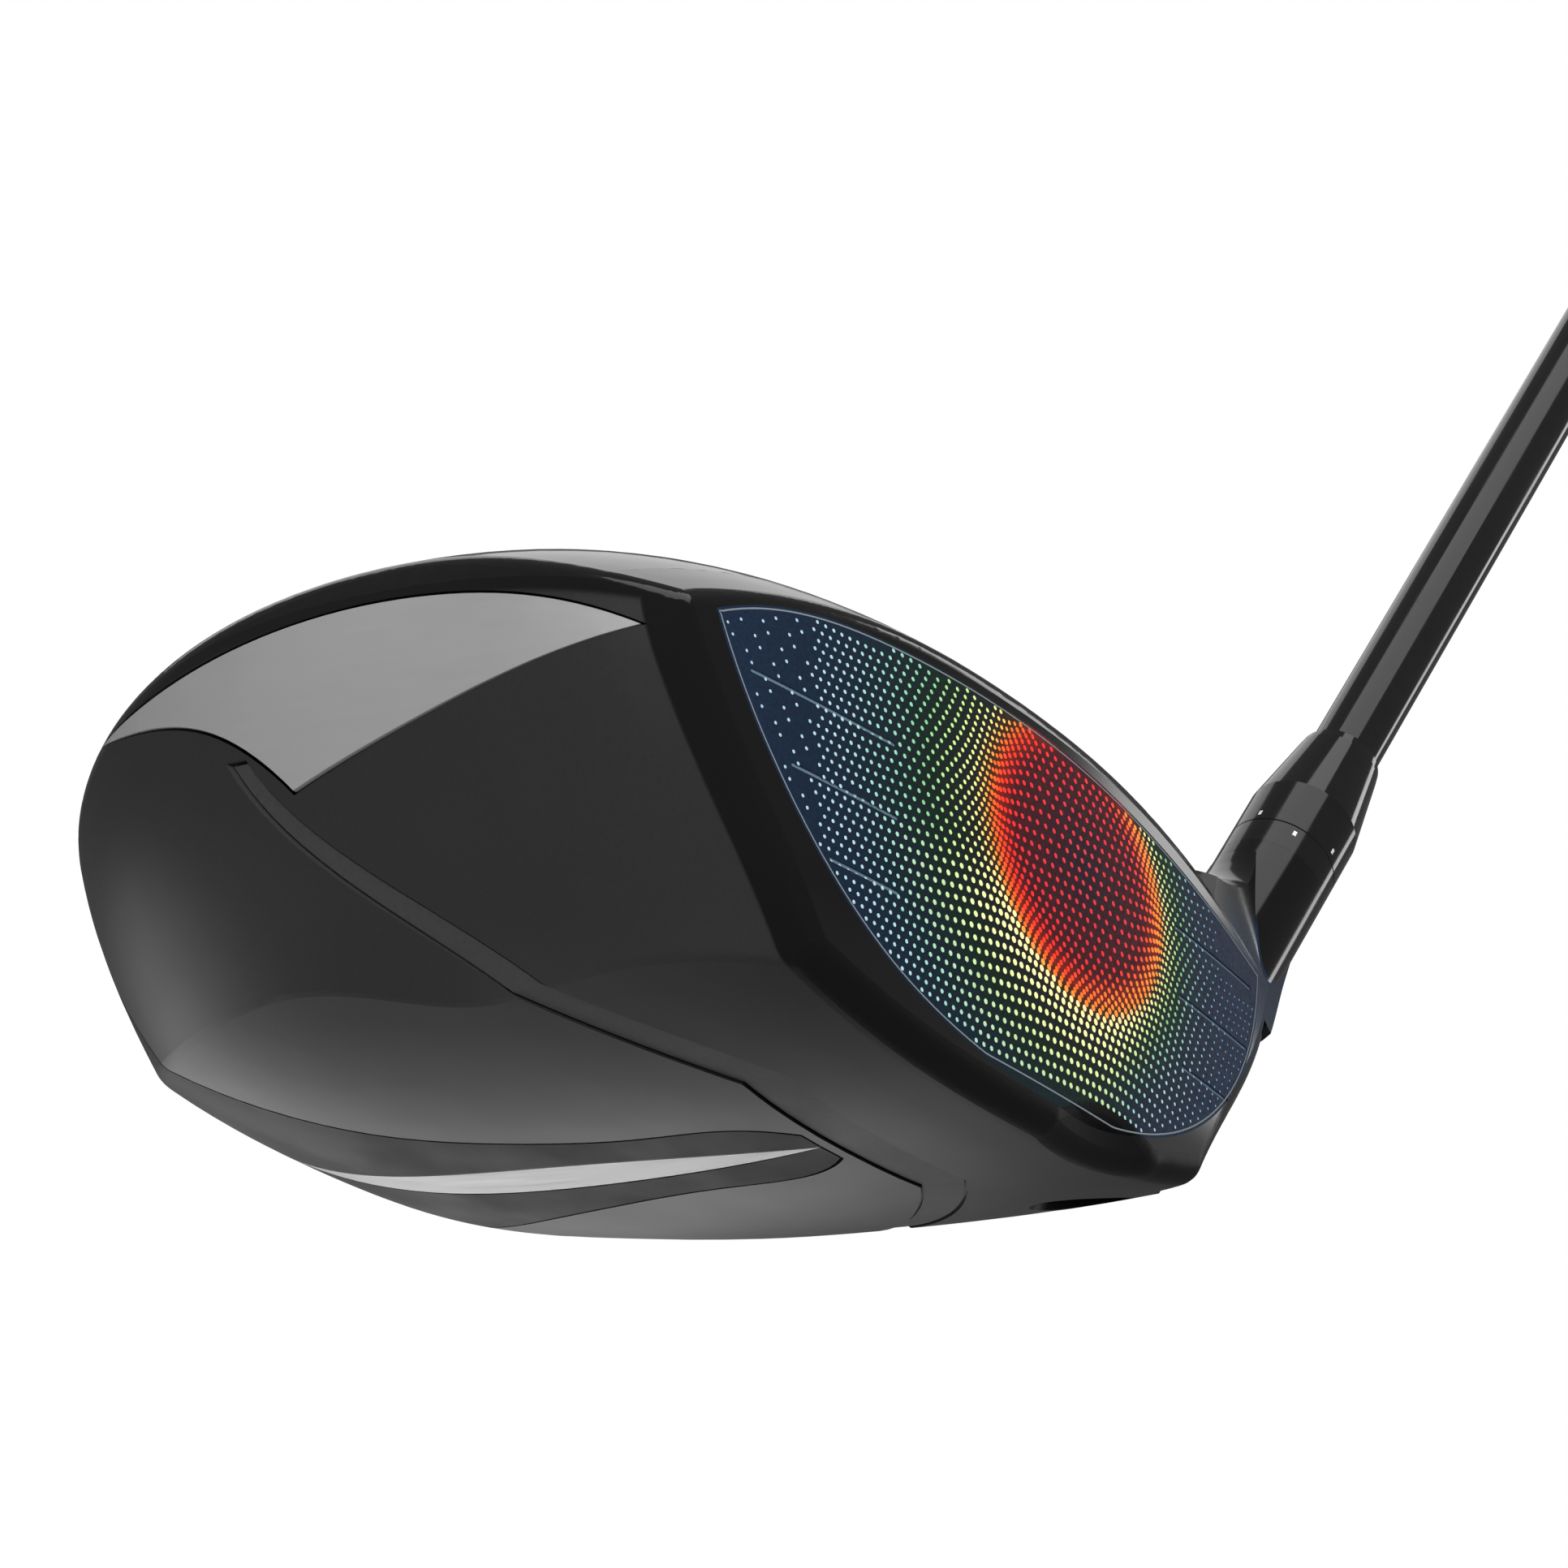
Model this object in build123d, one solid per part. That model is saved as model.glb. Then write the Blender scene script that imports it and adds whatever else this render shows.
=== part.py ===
from build123d import *
import math
import os

# Golf driver, in millimetres.
# Origin: on the ground under the middle of the face, with the club soled.
# -Y is the target direction, +X points to the heel, -X to the toe, +Z is up.

# Head: driving dimensions
LOFT = 10.0                 # face tilt from vertical, degrees
LIE = 58.0                  # shaft angle from the ground, degrees
FACE_RADIUS = 305.0         # bulge and roll radius of the face
FACE_MID_HEIGHT = 30.0
RIM_HEIGHT = 42.0           # level at which the plan outline is widest
HEAD_MIDDLE = (-3.0, 50.0)
CROWN_HEIGHT = 61.3
EDGE_ROUND = 3.0

# Widest plan outline: x, y, and the share of its reach drawn in at the ground
HEAD_PLAN = [
    (0.0, -12.0, 0.15), (-41.0, -7.0, 0.20), (-56.0, 10.0, 0.45), (-61.5, 34.5, 0.56),
    (-61.5, 65.0, 0.52), (-46.0, 98.5, 0.40), (-9.0, 115.0, 0.25), (25.0, 106.0, 0.42),
    (44.0, 74.0, 0.49), (53.0, 43.0, 0.41), (59.5, 12.0, 0.50), (38.0, -7.0, 0.15),
]
TUCK_POWER = 2.1            # how late the skirt tucks in towards the ground
CROWN_TUCK = 0.0019         # how fast the outline draws in above the rim
SECTION_LEVELS = (-4, 2, 8, 15, 23, 32, 42, 48, 54, 60, 66)

# Head: wall thicknesses
WALL = 1.2
FRAME = 3.0                 # front wall around the face plate
CROWN_WALL = 1.0
GLUE = 0.1
LEDGE = 1.0
INLAY = 0.6                 # badge, tail panel and stripe thickness
INLAY_GAP = 0.32            # dark line left around each inlay
CHANNEL_SINK = 0.25         # how far the channel filling lies below the sole's skin
NECK_CLEAR = 17.0           # crown panel's distance from the shaft axis

# Face plate
PLATE_EDGE = 2.6
PLATE_BULGE = 1.2           # extra thickness behind the middle of the face
SCORE_PITCH = 8.3
SCORE_WIDTH = 0.5
SCORE_DEPTH = 0.25

# Sole design
SOLE_MIDDLE = -4.5          # x of the sole's centre line
TAIL_TOP = 24.2             # level at which the tail panel ends on the rear
STRIPE_TIPS = (20.5, 96.0)
CHANNEL_TOP = 27.8          # level at which the arms end, just below the badge
CHANNEL_EDGES = [           # outer and inner edge of the toe arm, from the front leg to the skirt
    ((-20.5, 13.4), (-20.5, 18.6)), ((-32.0, 22.6), (-30.0, 26.0)), ((-40.0, 31.6), (-37.5, 33.4)),
    ((-52.0, 48.0), (-50.6, 49.2)), ((-60.5, 62.0), (-59.6, 62.6)),
]

# Rear weight, measured inwards from the skin along its own axis
WEIGHT_AT = (-4.5, 110.05, 18.2)
WEIGHT_TILT = 25.0          # how far its outer face looks down, degrees
WEIGHT_R = 4.9
WEIGHT_DISC = 3.0
WEIGHT_SINK = 0.15
WEIGHT_STUB_R = 2.45
WEIGHT_DEPTH = 11.0
BOSS_R = 6.4
BOSS_DEPTH = 11.6
SEAL_R = 3.4
SEAL = 0.8
FIT_GAP = 0.1               # clearance on each side of a moving piece

# Hosel stack, measured along the shaft axis from the ground
SHAFT_FOOT = (30.0, 13.6)
HOSEL_TOP = 64.3
RING_TOP = 68.2
COLLAR_TOP = 75.8
FERRULE_TOP = 88.6
BARREL_R = 6.8
SPIGOT_R = 5.1
SPIGOT_END = 30.0
BORE_CLEAR = 0.05
WEB_BOTTOM = 21.0
WEB_TOP = 24.0
PORT_R = 4.7
INSERT_R = 3.55
INSERT_TOP = 37.9
SCREW_R = 2.45
SCREW_HEAD_R = 4.0
SCREW_HEAD = 5.0
SCREW_LENGTH = 16.0
WASHER = 0.8

# Shaft and grip, measured the same way
CLUB_LENGTH = 1156.0
TIP_R = 4.25
BUTT_R = 7.6
SHAFT_TIP = 38.0
TAPER_START = 190.0
TAPER_END = 880.0
SHAFT_WALL = 1.0
TIP_WALL = 1.8
GRIP_START = 889.0
TAPE = 0.25
GRIP_MOUTH_R = 9.2
GRIP_BUTT_R = 13.3
CAP = 7.0
CAP_R = 14.0
VENT_R = 1.5

# Neck flare: station and radius of each round section, all touching the barrel's heel line
NECK_SECTIONS = [(62.0, 6.8), (56.0, 7.4), (50.0, 9.5), (46.0, 12.0), (41.0, 15.0)]
NECK_REACH = 15.5
NECK_LIFT = 0.06            # how far the flare stands off the barrel and behind the face

shaft_plane = Plane(
    origin=(SHAFT_FOOT[0], SHAFT_FOOT[1], 0),
    x_dir=(0, 1, 0),
    z_dir=(math.cos(math.radians(LIE)), 0, math.sin(math.radians(LIE))),
)
weight_plane = Plane(
    origin=WEIGHT_AT,
    x_dir=(1, 0, 0),
    z_dir=(0, math.cos(math.radians(WEIGHT_TILT)), -math.sin(math.radians(WEIGHT_TILT))),
)


# ---------------------------------------------------------------- head surfaces

def steps(first, last, count):
    """Evenly spaced values from first to last."""
    return [first + (last - first) * i / (count - 1) for i in range(count)]


def reach_at(share, z):
    """How much of a plan point's reach from the head's middle is left at height z."""
    if z < RIM_HEIGHT:
        return 1 - share * ((RIM_HEIGHT - z) / RIM_HEIGHT) ** TUCK_POWER
    return 1 - share * CROWN_TUCK * (z - RIM_HEIGHT) ** 2


def section(z, inset):
    """Closed level outline of the head, drawn in by inset."""
    mx, my = HEAD_MIDDLE
    points = []
    for x, y, share in HEAD_PLAN:
        reach = math.hypot(x - mx, y - my)
        scale = reach_at(share, z) * (1 - inset / reach)
        points.append((mx + (x - mx) * scale, my + (y - my) * scale, z))
    return Wire([Edge.make_spline(points, periodic=True)])


def crown_z(x, y):
    """Crown height: highest a little behind the face, falling away all round."""
    dx, dy = x + 3.6, y - 40.5
    across = (16.6 if dx < 0 else 13.0) * abs(dx / 60) ** 2.3
    along = 13.3 * (dy / 40) ** 2 if dy < 0 else 34.3 * (dy / 70) ** 2.1
    return CROWN_HEIGHT - across - along


def sole_z(x, y):
    """Sole height: touches the ground under the middle and rises all round."""
    dx, dy = x + 2, y - 45
    across = (21.4 if dx < 0 else 17.0) * abs(dx / 60) ** 2.4
    along = 3.0 * abs(dy / 50) ** 2.6 if dy < 0 else 13.6 * (dy / 65) ** 3.6
    return across + along


def face_y(x, z):
    """Face surface: lofted back, with bulge across it and roll up it."""
    rise = z - FACE_MID_HEIGHT
    return rise * math.tan(math.radians(LOFT)) + (x * x + rise * rise) / (2 * FACE_RADIUS)


def sheet(point, us, vs):
    """Smooth face through point(u, v) over a grid."""
    rows = [[Vector(*point(u, v)) for v in vs] for u in us]
    return Face.make_surface_from_array_of_points(rows, tol=0.01, min_deg=3, max_deg=6)


def under_crown(inset):
    """Everything below the crown surface lowered by inset."""
    top = sheet(lambda x, y: (x, y, crown_z(x, y) - inset), steps(-80, 80, 25), steps(-20, 135, 25))
    return Solid.extrude(top, Vector(0, 0, -150))


def over_sole(inset):
    """Everything above the sole surface raised by inset."""
    low = sheet(lambda x, y: (x, y, sole_z(x, y) + inset), steps(-80, 80, 25), steps(-20, 135, 25))
    return Solid.extrude(low, Vector(0, 0, 150))


def behind_face(depth):
    """Everything behind the face surface moved back by depth."""
    front = sheet(lambda x, z: (x, face_y(x, z) + depth, z), steps(-80, 90, 18), steps(-10, 80, 13))
    return Solid.extrude(front, Vector(0, 200, 0))


def head(inset, front):
    """Head volume with its walls drawn in by inset and its face moved back by front."""
    wall = Solid.make_loft([section(z, inset) for z in SECTION_LEVELS])
    return wall & under_crown(inset) & over_sole(inset) & behind_face(front)


def crown_line_z(y):
    """Height of the joint between crown and body at a distance y behind the face."""
    return 43.2 - 0.003 * (y - 35) ** 2


def crown_zone(grow):
    """Region taken by the crown panel; grow enlarges it on every side."""
    low = sheet(
        lambda x, y: (x, y, crown_line_z(y) - grow), steps(-80, 80, 9), steps(-20, 135, 17)
    )
    region = Solid.extrude(low, Vector(0, 0, 80)) & behind_face(7.0 - grow)
    clear = shaft_plane.location * Cylinder(NECK_CLEAR - grow, 140)
    return region - clear


# ------------------------------------------------------------------ small tools

def on_shaft(shape):
    """Move a shape built along local Z onto the shaft axis."""
    return shaft_plane.location * shape


def pin(radius, low, high):
    """Cylinder on local Z between two levels."""
    return Pos(0, 0, (low + high) / 2) * Cylinder(radius, high - low)


def rod(radius, low, high):
    """Cylinder on the shaft axis between two stations."""
    return on_shaft(pin(radius, low, high))


def tube(outer, inner, low, high):
    """Hollow cylinder on the shaft axis."""
    return rod(outer, low, high) - rod(inner, low - 1, high + 1)


def turned(profile):
    """Solid turned about the shaft axis from a closed list of radius, station points."""
    face = make_face(Plane.XZ * Polyline(*profile, close=True))
    return on_shaft(revolve(face, Axis.Z))


def plan_prism(outline, high):
    """Vertical prism from below the sole up to high, over a plan outline."""
    return extrude(Pos(0, 0, -10) * make_face(outline), 10 + high, dir=(0, 0, 1))


def mirrored_plan(points):
    """Mirror plan points about the sole's centre line."""
    return [(2 * SOLE_MIDDLE - x, y) for x, y in points]


def box_between(low, high):
    """Box from its lowest to its highest corner."""
    size = [b - a for a, b in zip(low, high)]
    middle = [(a + b) / 2 for a, b in zip(low, high)]
    return Pos(*middle) * Box(*size)


def hex_socket(across, depth):
    """Six-sided driver socket opening downwards at local Z 0."""
    outline = RegularPolygon(across / 2, 6, major_radius=False)
    return extrude(outline, depth, dir=(0, 0, 1))


# -------------------------------------------------------------------- outlines

def plate_outline():
    """Face plate outline on the XZ plane."""
    toe, heel = (-50.0, 40.8), (53.0, 38.6)
    crest = [(-36, 46.0), (-22, 47.8), (-6, 48.3), (12, 47.3), (30, 44.4)]
    hollow = [(-41.5, 25.0), (-25, 11.2), (-4, 5.9), (14, 6.4), (32, 12.4), (45.5, 23.5)]
    return Spline(toe, *crest, heel) + Spline(toe, *hollow, heel)


def plate_prism():
    """Front-to-back prism over the face plate outline."""
    return extrude(make_face(Plane.XZ * plate_outline()), 60, both=True)


def badge_prism(grow):
    """Toe-side prism over the badge outline, drawn on the YZ plane."""
    rear, front = (85.5 + 2 * grow, 35.2), (10.5 - 2 * grow, 37.2)
    corner = (53.0, 24.6 - 1.4 * grow)
    crest = [(76, 36.6), (59, 39.6), (43, 41.6), (27, 41.2)]
    hollow = [(58, 28.6), (64, 31.6), (72, 33.6)]
    top = Spline(rear, *[(y, z + grow) for y, z in crest], front)
    straight = Polyline(front, corner)
    scoop = Spline(corner, *[(y + 0.5 * grow, z - grow) for y, z in hollow], rear)
    return extrude(make_face(Plane.YZ * (top + straight + scoop)), 90, dir=(-1, 0, 0))


def tail_prism(grow):
    """Plan prism over the flared tail panel, limited in height at the rear."""
    side = [(-8, 20.5 - grow), (-11.5, 27), (-12.2, 38), (-14.5, 55), (-18, 68), (-24, 82), (-33, 125)]
    side = [(x - grow, y) for x, y in side]
    other = mirrored_plan(side)
    ends = Polyline(side[0], other[0]) + Polyline(side[-1], other[-1])
    return plan_prism(Spline(*side) + Spline(*other) + ends, TAIL_TOP + grow)


def stripe_prism(grow):
    """Plan prism over the long pointed stripe on the tail panel."""
    front = (SOLE_MIDDLE, STRIPE_TIPS[0] - 2 * grow)
    rear = (SOLE_MIDDLE, STRIPE_TIPS[1] + 4 * grow)
    swell = [(2.3 + grow, 40), (3.3 + grow, 60), (2.4 + grow, 80)]
    left = Spline(front, *[(SOLE_MIDDLE - x, y) for x, y in swell], rear)
    right = Spline(front, *[(SOLE_MIDDLE + x, y) for x, y in swell], rear)
    return plan_prism(left + right, 20)


def channel_prism(grow):
    """Plan prism over the sole channel: a front leg across the sole and an arm to each side."""
    spread = math.sqrt(0.5) * grow
    (x, low), (_, high) = CHANNEL_EDGES[0]
    outer = [(x, low - grow)] + [(x - spread, y - spread) for (x, y), _ in CHANNEL_EDGES[1:]]
    inner = [(x, high + grow)] + [(x + spread, y + spread) for _, (x, y) in CHANNEL_EDGES[1:]]
    outline = None
    for edge in (outer, inner):
        other = mirrored_plan(edge)
        line = Spline(*edge) + Polyline(edge[0], other[0]) + Spline(*other)
        outline = line if outline is None else outline + line
    ends = Polyline(outer[-1], inner[-1]) + Polyline(*mirrored_plan([outer[-1], inner[-1]]))
    return plan_prism(outline + ends, CHANNEL_TOP + grow)


# ------------------------------------------------------------------- head parts

def neck(cavity):
    """Concave flare that blends the hosel barrel into the head, straight on its heel side."""
    rings = []
    for station, radius in NECK_SECTIONS:
        at = Pos(0, radius - BARREL_R, station)
        rings.append(shaft_plane.location * at * Wire.make_circle(radius + NECK_LIFT))
    flare = Solid.make_loft(rings)
    return (flare & rod(NECK_REACH, 35, HOSEL_TOP) & behind_face(NECK_LIFT)) - cavity


def weight_boss():
    """Threaded boss inside the tail that the rear weight screws into."""
    return weight_plane.location * pin(BOSS_R, -BOSS_DEPTH, 0)


def weight_pocket():
    """Stepped hole for the rear weight, its seal and its stub."""
    disc = pin(WEIGHT_R + FIT_GAP, -WEIGHT_DISC - FIT_GAP, 4)
    seat = pin(SEAL_R + FIT_GAP, -WEIGHT_DISC - SEAL - 2 * FIT_GAP, 0)
    stub = pin(WEIGHT_STUB_R + FIT_GAP, -BOSS_DEPTH - 2, 0)
    return weight_plane.location * (disc + seat + stub)


def crown_shell(outer):
    skin = outer - head(CROWN_WALL, 0)
    return skin & crown_zone(0)


def sole_body(outer, cavity):
    """Cast body: skirt, sole, face frame, crown ledge, hosel, weight boss and ribs."""
    shell = (outer - cavity) - crown_zone(0)
    ledge_skin = head(CROWN_WALL + GLUE, 0) - head(CROWN_WALL + GLUE + LEDGE, FRAME)
    ledge = ledge_skin & (crown_zone(2.0) - crown_zone(-5.0))
    ribs_at = [box_between((-45, y, -5), (40, y + 1.2, 16)) for y in (62, 84)]
    rib_skin = head(WALL - 0.2, FRAME) - head(6.0, 6.0)
    barrel = rod(BARREL_R, 2, HOSEL_TOP) & over_sole(0)
    body = shell + ledge + (weight_boss() & outer) + (barrel + neck(cavity))
    for rib in ribs_at:
        body += rib_skin & rib
    body -= weight_pocket()
    body -= rod(PORT_R, -10, WEB_BOTTOM)
    body -= rod(SCREW_R + 0.3, 0, HOSEL_TOP)
    body -= rod(SPIGOT_R + BORE_CLEAR, WEB_TOP, HOSEL_TOP + 1)
    body -= plate_prism() & head_front()
    return body


def head_front():
    """Slab at the front of the head that holds the face plate."""
    return box_between((-70, -20, 0), (70, 16, 60))


def face_plate(outer):
    """Forged plate, thicker behind its middle, with shallow score lines."""
    def back(x, z):
        middle = math.exp(-(x / 22) ** 2 - ((z - 28) / 12) ** 2)
        return (x, face_y(x, z) + PLATE_EDGE + PLATE_BULGE * middle, z)

    behind = Solid.extrude(sheet(back, steps(-80, 90, 35), steps(-10, 80, 25)), Vector(0, 200, 0))
    plate = (plate_prism() & outer) - behind - rod(BARREL_R, 20, HOSEL_TOP)
    groove_slab = plate - behind_face(SCORE_DEPTH)
    for row in range(3):
        z = 35.5 - SCORE_PITCH * row
        toe_end = -45.5 + 5.5 * row
        for low, high in ((toe_end, -24.0), (30.0, 50.0 - 2.5 * row)):
            plate -= groove_slab & box_between((low, -20, z), (high, 30, z + SCORE_WIDTH))
    return plate


def damping_pad(cavity):
    """Low mound of hot-melt adhesive on the inside of the sole."""
    mound = Pos(14, 73.5, 0) * scale(Sphere(9), by=(1.3, 1.0, 0.5))
    return mound & cavity & head(WALL + 0.02, FRAME)


# ------------------------------------------------------------- rear weight parts

def rear_weight():
    """Swing weight: socketed disc on a threaded stub."""
    disc = chamfer(pin(WEIGHT_R, -WEIGHT_DISC, -WEIGHT_SINK).edges(), 0.3)
    stub = chamfer(pin(WEIGHT_STUB_R, -WEIGHT_DEPTH, -WEIGHT_DISC).edges().group_by(Axis.Z)[0], 0.4)
    socket = Pos(0, 0, -WEIGHT_SINK - 2.0) * hex_socket(3.0, 3.0)
    return weight_plane.location * (disc + stub - socket)


def weight_seal():
    """Rubber ring on the stub that keeps the weight from working loose."""
    ring = pin(SEAL_R, -WEIGHT_DISC - SEAL, -WEIGHT_DISC)
    return weight_plane.location * (ring - pin(WEIGHT_STUB_R + FIT_GAP / 2, -WEIGHT_DEPTH, 0))


# ------------------------------------------------------------------ hosel parts

def hosel_ring():
    """Index ring between head and sleeve, with a stepped top and outer tick marks."""
    ring = tube(BARREL_R, SPIGOT_R + BORE_CLEAR, HOSEL_TOP, RING_TOP)
    ring -= tube(SPIGOT_R + 1.1, 0.5, RING_TOP - 1.6, RING_TOP + 1)
    ring -= tick_marks(RING_TOP - 1.4, RING_TOP - 0.5, 4, 45)
    return ring


def tick_marks(low, high, count, start):
    """Small engraved ticks spaced round the outside of the hosel."""
    tick = box_between((BARREL_R - 0.15, -0.25, low), (BARREL_R + 1, 0.25, high))
    marks = None
    for i in range(count):
        turned_tick = Rot(0, 0, start + i * 360 / count) * tick
        marks = turned_tick if marks is None else marks + turned_tick
    return on_shaft(marks)


def hosel_sleeve():
    """Adapter sleeve: slim spigot, locking tangs, and a collar the shaft is bonded into."""
    sleeve = turned([
        (0, SPIGOT_END), (SPIGOT_R - 0.5, SPIGOT_END), (SPIGOT_R, SPIGOT_END + 0.5),
        (SPIGOT_R, RING_TOP + 0.05), (BARREL_R - 0.2, RING_TOP + 0.05), (BARREL_R, RING_TOP + 0.25),
        (BARREL_R, COLLAR_TOP), (0, COLLAR_TOP),
    ])
    for i in range(4):
        tang = box_between((SPIGOT_R - 0.5, -1.0, RING_TOP - 1.4), (SPIGOT_R + 0.9, 1.0, RING_TOP + 0.5))
        sleeve += on_shaft(Rot(0, 0, 90 * i) * tang)
    sleeve -= rod(TIP_R, SHAFT_TIP, COLLAR_TOP + 1)
    sleeve -= rod(INSERT_R + BORE_CLEAR, SPIGOT_END - 1, SHAFT_TIP)
    sleeve -= tick_marks(RING_TOP + 1.0, RING_TOP + 1.9, 4, 0)
    return sleeve


def thread_insert():
    """Threaded steel insert at the foot of the sleeve that the hosel screw pulls on."""
    return tube(INSERT_R, SCREW_R + BORE_CLEAR, SPIGOT_END + 0.6, INSERT_TOP)


def ferrule():
    """Tapered trim collar from the sleeve's shoulder down to the shaft."""
    return turned([
        (TIP_R, COLLAR_TOP), (BARREL_R, COLLAR_TOP),
        (TIP_R + 0.95, FERRULE_TOP - 1.2), (TIP_R + 0.75, FERRULE_TOP), (TIP_R, FERRULE_TOP),
    ])


def hosel_screw():
    """Captive socket screw, head towards the sole."""
    head_low = WEB_BOTTOM - WASHER - SCREW_HEAD
    head_high = WEB_BOTTOM - WASHER
    screw = turned([
        (0, head_low), (SCREW_HEAD_R - 0.4, head_low), (SCREW_HEAD_R, head_low + 0.4),
        (SCREW_HEAD_R, head_high), (SCREW_R, head_high), (SCREW_R, head_high + SCREW_LENGTH - 0.6),
        (SCREW_R - 0.6, head_high + SCREW_LENGTH), (0, head_high + SCREW_LENGTH),
    ])
    socket = on_shaft(Pos(0, 0, head_low) * hex_socket(4.0, 2.6))
    return screw - socket


def screw_washer():
    """Retaining washer under the screw head."""
    return tube(PORT_R - 0.15, SCREW_R + 0.1, WEB_BOTTOM - WASHER, WEB_BOTTOM)


# -------------------------------------------------------------- shaft and grip

def shaft():
    """Graphite tube: parallel tip, long taper, parallel butt."""
    end = CLUB_LENGTH - CAP
    return turned([
        (TIP_R - TIP_WALL, SHAFT_TIP), (TIP_R, SHAFT_TIP), (TIP_R, TAPER_START),
        (BUTT_R, TAPER_END), (BUTT_R, end), (BUTT_R - SHAFT_WALL, end),
        (BUTT_R - SHAFT_WALL, TAPER_END), (TIP_R - TIP_WALL, TAPER_START),
    ])


def tip_plug():
    """Swing-weight pin glued inside the shaft tip."""
    return rod(TIP_R - TIP_WALL, SHAFT_TIP, SHAFT_TIP + 30)


def grip_tape():
    return tube(BUTT_R + TAPE, BUTT_R, GRIP_START + 4, CLUB_LENGTH - CAP - 3)


def grip():
    """Tapered rubber sleeve with a thin rounded mouth."""
    end = CLUB_LENGTH - CAP
    inner = BUTT_R + TAPE
    outline = Spline(
        (GRIP_MOUTH_R, GRIP_START + 1.0), (GRIP_MOUTH_R + 0.9, GRIP_START + 70),
        (GRIP_BUTT_R - 1.2, GRIP_START + 180), (GRIP_BUTT_R, end - 12),
    )
    rest = Polyline(
        (GRIP_BUTT_R, end - 12), (GRIP_BUTT_R, end), (BUTT_R, end), (BUTT_R, end - 3), (inner, end - 3),
        (inner, GRIP_START + 4), (BUTT_R, GRIP_START + 4), (BUTT_R, GRIP_START),
        (GRIP_MOUTH_R - 0.6, GRIP_START), (GRIP_MOUTH_R, GRIP_START + 1.0),
    )
    return on_shaft(revolve(make_face(Plane.XZ * (outline + rest)), Axis.Z))


def grip_cap():
    """Firm rubber butt cap with a vent hole."""
    low = CLUB_LENGTH - CAP
    return turned([
        (VENT_R, low), (CAP_R - 0.3, low), (CAP_R, low + 0.3), (CAP_R, CLUB_LENGTH - 1.2),
        (CAP_R - 1.2, CLUB_LENGTH), (VENT_R, CLUB_LENGTH),
    ])


# ---------------------------------------------------------------------- export

def build():
    """Every separate piece of the club by node name."""
    sharp = head(0, 0)
    outer = sharp.fillet(EDGE_ROUND, sharp.edges())
    cavity = head(WALL, FRAME)
    inlay_floor = head(INLAY, 0)
    skin = outer - inlay_floor
    channel_skin = head(CHANNEL_SINK, 0) - inlay_floor

    body = sole_body(outer, cavity)
    for space in (badge_prism(INLAY_GAP), tail_prism(INLAY_GAP), channel_prism(INLAY_GAP)):
        body -= skin & space
    return {
        "sole_body": body,
        "crown_shell": crown_shell(outer),
        "face_plate": face_plate(outer),
        "toe_badge": skin & badge_prism(0),
        "tail_panel": (skin & tail_prism(0)) - stripe_prism(INLAY_GAP) - weight_pocket(),
        "sole_stripe": skin & stripe_prism(0) & tail_prism(0),
        "channel_fill": channel_skin & channel_prism(0),
        "damping_pad": damping_pad(cavity),
        "rear_weight": rear_weight(),
        "weight_seal": weight_seal(),
        "hosel_ring": hosel_ring(),
        "hosel_sleeve": hosel_sleeve(),
        "thread_insert": thread_insert(),
        "ferrule": ferrule(),
        "hosel_screw": hosel_screw(),
        "screw_washer": screw_washer(),
        "shaft": shaft(),
        "tip_plug": tip_plug(),
        "grip_tape": grip_tape(),
        "grip": grip(),
        "grip_cap": grip_cap(),
    }


os.makedirs("parts", exist_ok=True)
for name, shape in build().items():
    export_step(shape, f"parts/{name}.step")
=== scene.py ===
import itertools
import math

import bmesh
import bpy
from mathutils import Matrix, Vector
from mathutils.bvhtree import BVHTree

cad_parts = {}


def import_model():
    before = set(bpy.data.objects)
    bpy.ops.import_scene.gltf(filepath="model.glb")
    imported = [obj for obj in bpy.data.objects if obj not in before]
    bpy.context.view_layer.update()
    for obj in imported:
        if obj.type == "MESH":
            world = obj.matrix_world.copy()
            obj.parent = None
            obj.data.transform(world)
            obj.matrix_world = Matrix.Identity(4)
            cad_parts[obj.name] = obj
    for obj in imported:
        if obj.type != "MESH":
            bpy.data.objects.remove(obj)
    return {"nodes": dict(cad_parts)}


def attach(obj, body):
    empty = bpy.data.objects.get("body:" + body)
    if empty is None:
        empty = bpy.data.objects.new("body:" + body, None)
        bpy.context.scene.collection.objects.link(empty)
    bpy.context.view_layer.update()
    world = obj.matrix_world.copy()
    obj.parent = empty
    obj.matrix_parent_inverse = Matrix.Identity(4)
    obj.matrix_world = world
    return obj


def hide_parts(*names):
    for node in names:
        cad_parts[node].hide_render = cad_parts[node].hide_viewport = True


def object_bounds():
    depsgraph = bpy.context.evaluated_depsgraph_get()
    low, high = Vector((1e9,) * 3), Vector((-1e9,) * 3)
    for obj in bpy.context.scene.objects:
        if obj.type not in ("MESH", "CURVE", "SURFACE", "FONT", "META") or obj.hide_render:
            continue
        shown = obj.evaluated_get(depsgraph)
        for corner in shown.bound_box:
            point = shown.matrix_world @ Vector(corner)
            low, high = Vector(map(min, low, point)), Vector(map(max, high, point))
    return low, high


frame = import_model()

CAD_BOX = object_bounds()
MM = 0.001

# The face surface and the shaft axis, as the CAD model has them.
LOFT_SLOPE = math.tan(math.radians(10.0))
FACE_RADIUS = 305.0 * MM
FACE_MID_HEIGHT = 30.0 * MM
LIE = math.radians(58.0)
SHAFT_FOOT = Vector((30.0, 13.6, 0.0)) * MM
SHAFT_AXIS = Vector((math.cos(LIE), 0.0, math.sin(LIE)))

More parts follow.
